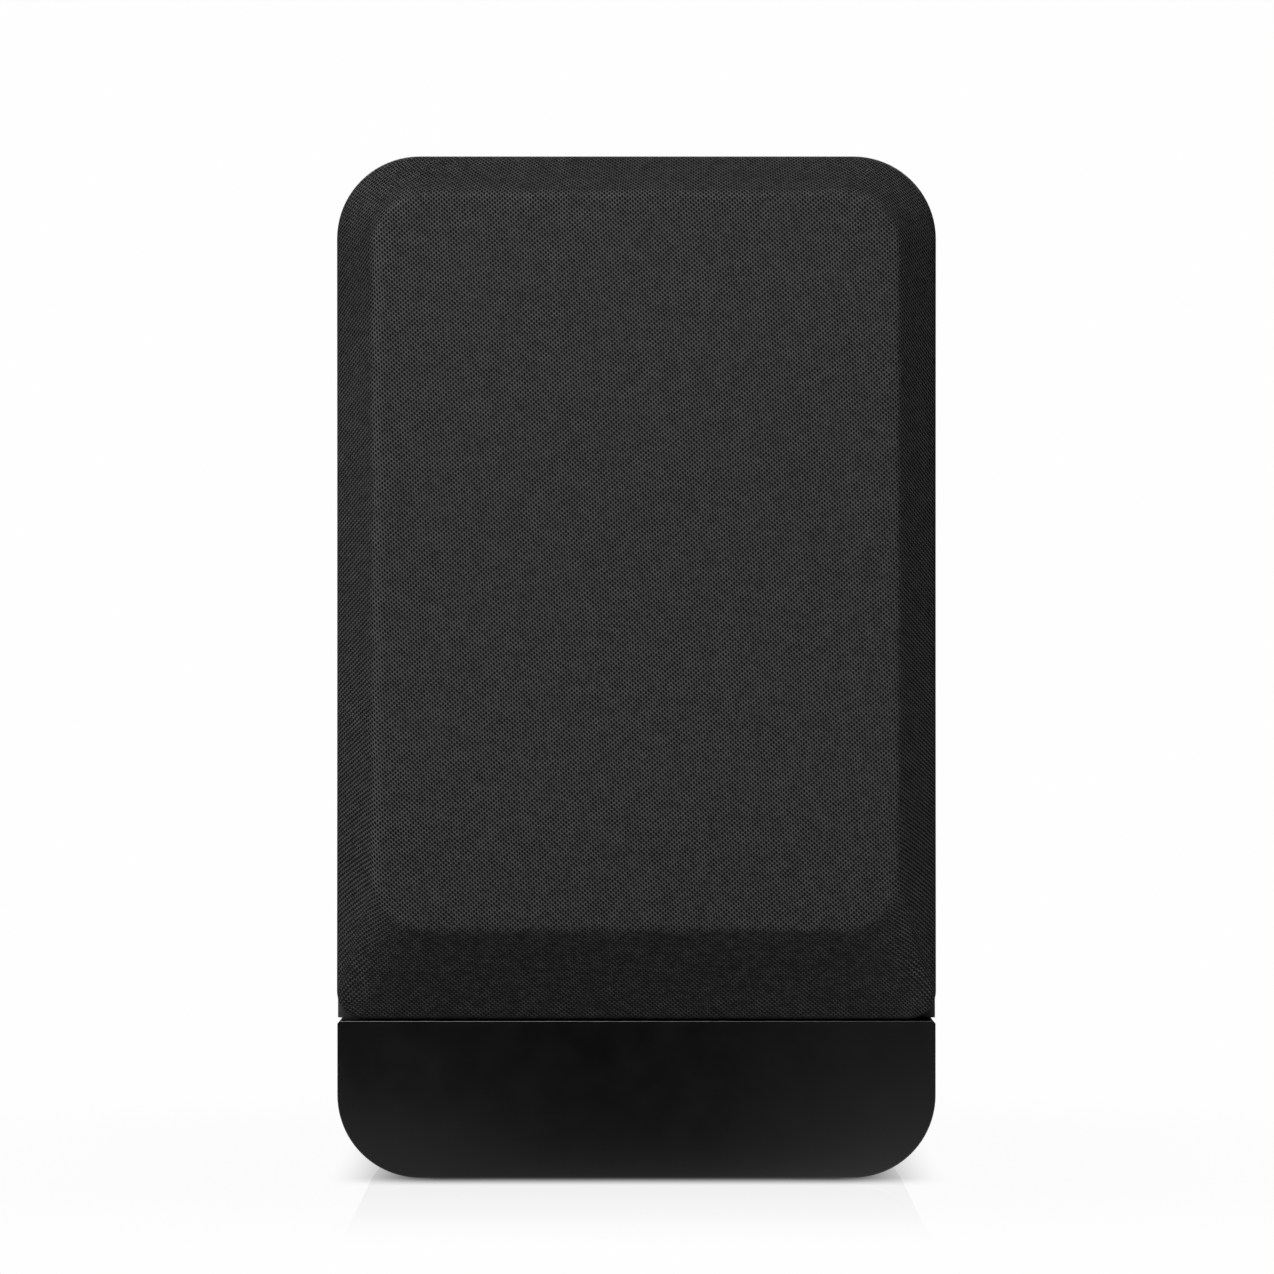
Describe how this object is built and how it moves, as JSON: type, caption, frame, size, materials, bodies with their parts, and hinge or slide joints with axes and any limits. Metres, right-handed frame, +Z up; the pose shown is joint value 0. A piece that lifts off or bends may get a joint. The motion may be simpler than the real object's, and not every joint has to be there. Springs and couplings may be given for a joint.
{
  "type": "bookshelf speaker",
  "caption": "Passive two-way bookshelf speaker with rounded corners, a pull-off bevelled cloth grille, a separate base section, a rear port and screw-down terminals.",
  "frame": {"origin": "centre of the footprint, on the surface that the feet stand on", "axes": "+Z up, -Y out of the grille towards the listener, +X to the right as seen from the front"},
  "size_m": [0.225, 0.245, 0.385],
  "materials": {
    "cabinet_lacquer": "satin black lacquer over fibreboard",
    "base_lacquer": "satin black lacquer over fibreboard",
    "front_lacquer": "satin black lacquer with a fine chamfer",
    "raw_board": "bare fibreboard",
    "foam": "open-cell grey acoustic foam",
    "gasket_rubber": "matt black rubber",
    "bolt_steel": "dark zinc-plated steel",
    "black_screw": "black oxide steel",
    "bright_screw": "bright zinc-plated steel",
    "moulded_black": "fine-textured moulded black plastic",
    "moulded_red": "red moulded plastic",
    "gold_plate": "gold-plated brass",
    "insert_brass": "plain brass",
    "basket_paint": "black powder-coated steel",
    "surround_rubber": "soft black rubber",
    "cone_paper": "black coated paper pulp",
    "dust_cap_paper": "black coated paper",
    "copper_wire": "enamelled copper wire",
    "spider_cloth": "resin-treated cloth",
    "plated_steel": "zinc-plated mild steel",
    "ferrite": "dark grey ferrite",
    "tag_board": "brown laminated paper board with plated tags",
    "faceplate": "satin moulded black plastic",
    "dome_silk": "coated silk",
    "circuit_board": "green lacquered glass-fibre board",
    "film_wrap": "cream plastic film wrap",
    "white_ceramic": "white cement body",
    "nylon": "natural nylon",
    "lead_jacket": "black plastic insulation",
    "grille_board": "black-stained fibreboard",
    "grille_cloth": "stretched black knit cloth",
    "magnet_nickel": "nickel plate"
  },
  "bodies": {
    "root": {"cabinet_shell": "cabinet_lacquer", "front_baffle": "cabinet_lacquer", "rear_panel": "cabinet_lacquer", "cabinet_floor": "raw_board", "damping_foam": "foam", "base_shell": "base_lacquer", "base_lid": "base_lacquer", "base_front_panel": "front_lacquer", "base_rear_panel": "cabinet_lacquer", "decoupling_gasket": "gasket_rubber", "rubber_feet": "gasket_rubber", "base_bolts": "bolt_steel", "port_tube": "moulded_black", "bracket_inserts": "insert_brass", "woofer_basket": "basket_paint", "woofer_gasket": "gasket_rubber", "woofer_surround": "surround_rubber", "woofer_spider": "spider_cloth", "woofer_top_plate": "plated_steel", "woofer_magnet": "ferrite", "woofer_yoke": "plated_steel", "woofer_screws": "black_screw", "woofer_tag_strip": "tag_board", "tweeter_faceplate": "faceplate", "tweeter_gasket": "gasket_rubber", "tweeter_surround": "surround_rubber", "tweeter_top_plate": "plated_steel", "tweeter_magnet": "ferrite", "tweeter_yoke": "plated_steel", "tweeter_rear_cup": "moulded_black", "tweeter_screws": "black_screw", "crossover_board": "circuit_board", "woofer_inductor": "copper_wire", "tweeter_inductor": "copper_wire", "film_capacitors": "film_wrap", "power_resistors": "white_ceramic", "board_spacers": "nylon", "board_screws": "bright_screw", "terminal_cup": "moulded_black", "terminal_screws": "black_screw", "post_studs": "gold_plate", "post_collars": "moulded_black", "post_nuts": "bright_screw", "input_leads": "lead_jacket", "driver_leads": "lead_jacket", "magnet_keepers": "plated_steel"},
    "grille": {"grille_frame": "grille_board", "grille_cloth": "grille_cloth", "grille_magnets": "magnet_nickel"},
    "woofer_diaphragm": {"woofer_cone": "cone_paper", "woofer_dust_cap": "dust_cap_paper", "woofer_voice_coil": "copper_wire"},
    "tweeter_diaphragm": {"tweeter_dome": "dome_silk", "tweeter_voice_coil": "copper_wire"},
    "positive_clamp": {"positive_washer": "gold_plate"},
    "positive_cap": {"positive_core": "gold_plate", "positive_knob": "moulded_red"},
    "negative_clamp": {"negative_washer": "gold_plate"},
    "negative_cap": {"negative_core": "gold_plate", "negative_knob": "moulded_black"}
  },
  "joints": [
    {"name": "grille_pull", "type": "slide", "parent": "root", "child": "grille", "axis": [0, -1, 0], "range_m": [0, 0.08]},
    {"name": "woofer_stroke", "type": "slide", "parent": "root", "child": "woofer_diaphragm", "axis": [0, -1, 0], "range_m": [-0.006, 0.006], "stiffness_N_per_m": 1000, "deforming": ["woofer_surround", "woofer_spider"]},
    {"name": "tweeter_stroke", "type": "slide", "parent": "root", "child": "tweeter_diaphragm", "axis": [0, -1, 0], "range_m": [-0.0004, 0.0004], "stiffness_N_per_m": 300, "deforming": ["tweeter_surround"]},
    {"name": "positive_clamp_travel", "type": "slide", "parent": "root", "child": "positive_clamp", "axis": [0, 1, 0], "range_m": [0, 0.004]},
    {"name": "positive_cap_turn", "type": "hinge", "parent": "positive_clamp", "child": "positive_cap", "pos_m": [0.0095, 0.11, 0.03065], "axis": [0, 1, 0], "range_deg": [0, 1440]},
    {"name": "negative_clamp_travel", "type": "slide", "parent": "root", "child": "negative_clamp", "axis": [0, 1, 0], "range_m": [0, 0.004]},
    {"name": "negative_cap_turn", "type": "hinge", "parent": "negative_clamp", "child": "negative_cap", "pos_m": [-0.0095, 0.11, 0.03065], "axis": [0, 1, 0], "range_deg": [0, 1440]}
  ],
  "couplings": [
    {"joint": "positive_cap_turn", "follows": "positive_clamp_travel", "rad_per_m": 6283.2},
    {"joint": "negative_cap_turn", "follows": "negative_clamp_travel", "rad_per_m": 6283.2}
  ]
}
